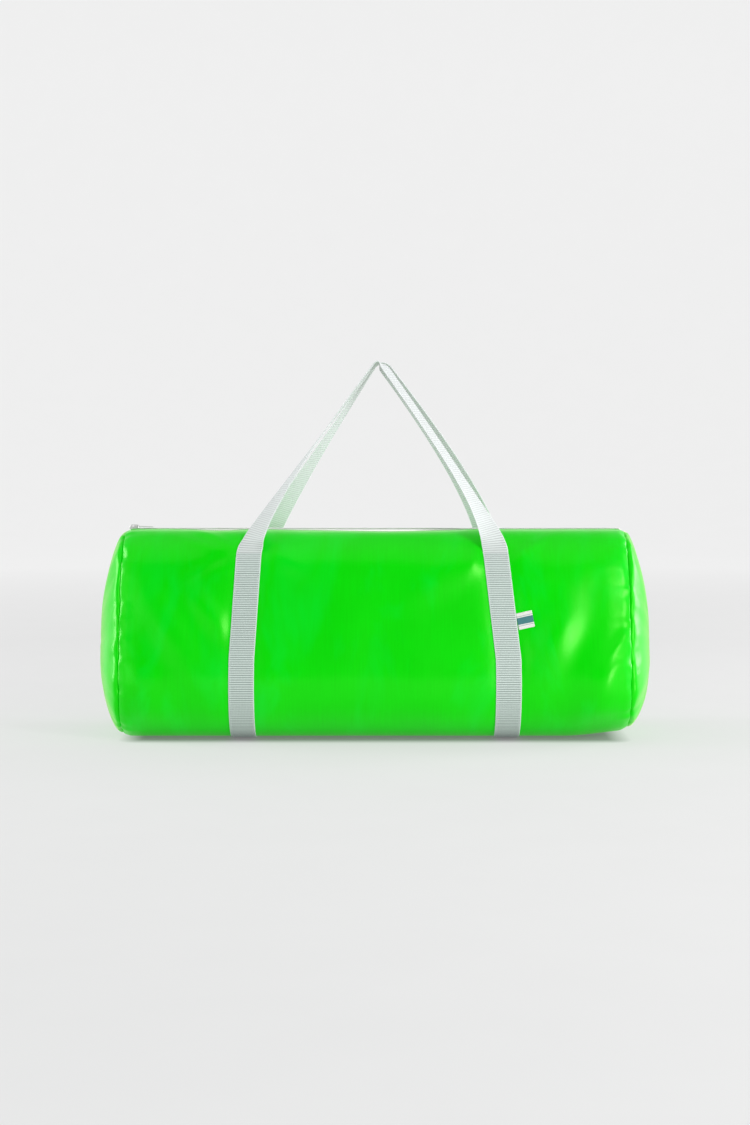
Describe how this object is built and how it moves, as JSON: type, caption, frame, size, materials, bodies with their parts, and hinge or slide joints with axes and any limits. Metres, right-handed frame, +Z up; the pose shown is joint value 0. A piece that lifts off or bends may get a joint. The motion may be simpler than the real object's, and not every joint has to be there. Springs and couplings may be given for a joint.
{
  "type": "sack race bag",
  "caption": "Soft barrel bag with a full-length top zip, webbing straps that wrap under it, two upright carry handles and bulging round ends.",
  "frame": {"origin": "on the floor, under the middle of the bag", "axes": "+X along the zip from the end where the slider rests, +Y to the back, +Z up"},
  "size_m": [0.844, 0.2882, 0.5701],
  "materials": {
    "shell_fabric": "satin coated nylon, fluorescent green",
    "binding_tape": "matte woven tape",
    "webbing": "ribbed woven webbing, white",
    "thread": "matte sewing thread",
    "zip_tape": "matte woven tape, white",
    "zip_coil": "white nylon coil",
    "zip_metal": "nickel-plated zinc, bright",
    "label": "woven satin label"
  },
  "bodies": {
    "bag": {"body_panel": "shell_fabric", "end_panel_left": "shell_fabric", "end_panel_right": "shell_fabric", "seam_binding_left": "binding_tape", "seam_binding_right": "binding_tape", "strap_left": "webbing", "strap_right": "webbing", "strap_bartacks": "thread", "zip_tape_front": "zip_tape", "zip_tape_back": "zip_tape", "zip_coil_front": "zip_coil", "zip_coil_back": "zip_coil", "side_label": "label"},
    "slider": {"zip_slider": "zip_metal", "slider_bridge": "zip_metal"},
    "pull": {"zip_pull": "zip_metal"},
    "front_handle": {"handle_front": "webbing"},
    "back_handle": {"handle_back": "webbing"}
  },
  "joints": [
    {"name": "zip_slide", "type": "slide", "parent": "bag", "child": "slider", "axis": [1, 0, 0], "range_m": [0, 0.7404]},
    {"name": "pull_flip", "type": "hinge", "parent": "slider", "child": "pull", "pos_m": [-0.3702, 0, 0.31757], "axis": [0, -1, 0], "range_deg": [0, 174]},
    {"name": "front_handle_fold", "type": "hinge", "parent": "bag", "child": "front_handle", "pos_m": [0, -0.0869, 0.281], "axis": [1, 0, 0], "range_deg": [0, 130]},
    {"name": "back_handle_fold", "type": "hinge", "parent": "bag", "child": "back_handle", "pos_m": [0, 0.0869, 0.281], "axis": [-1, 0, 0], "range_deg": [0, 130]}
  ]
}
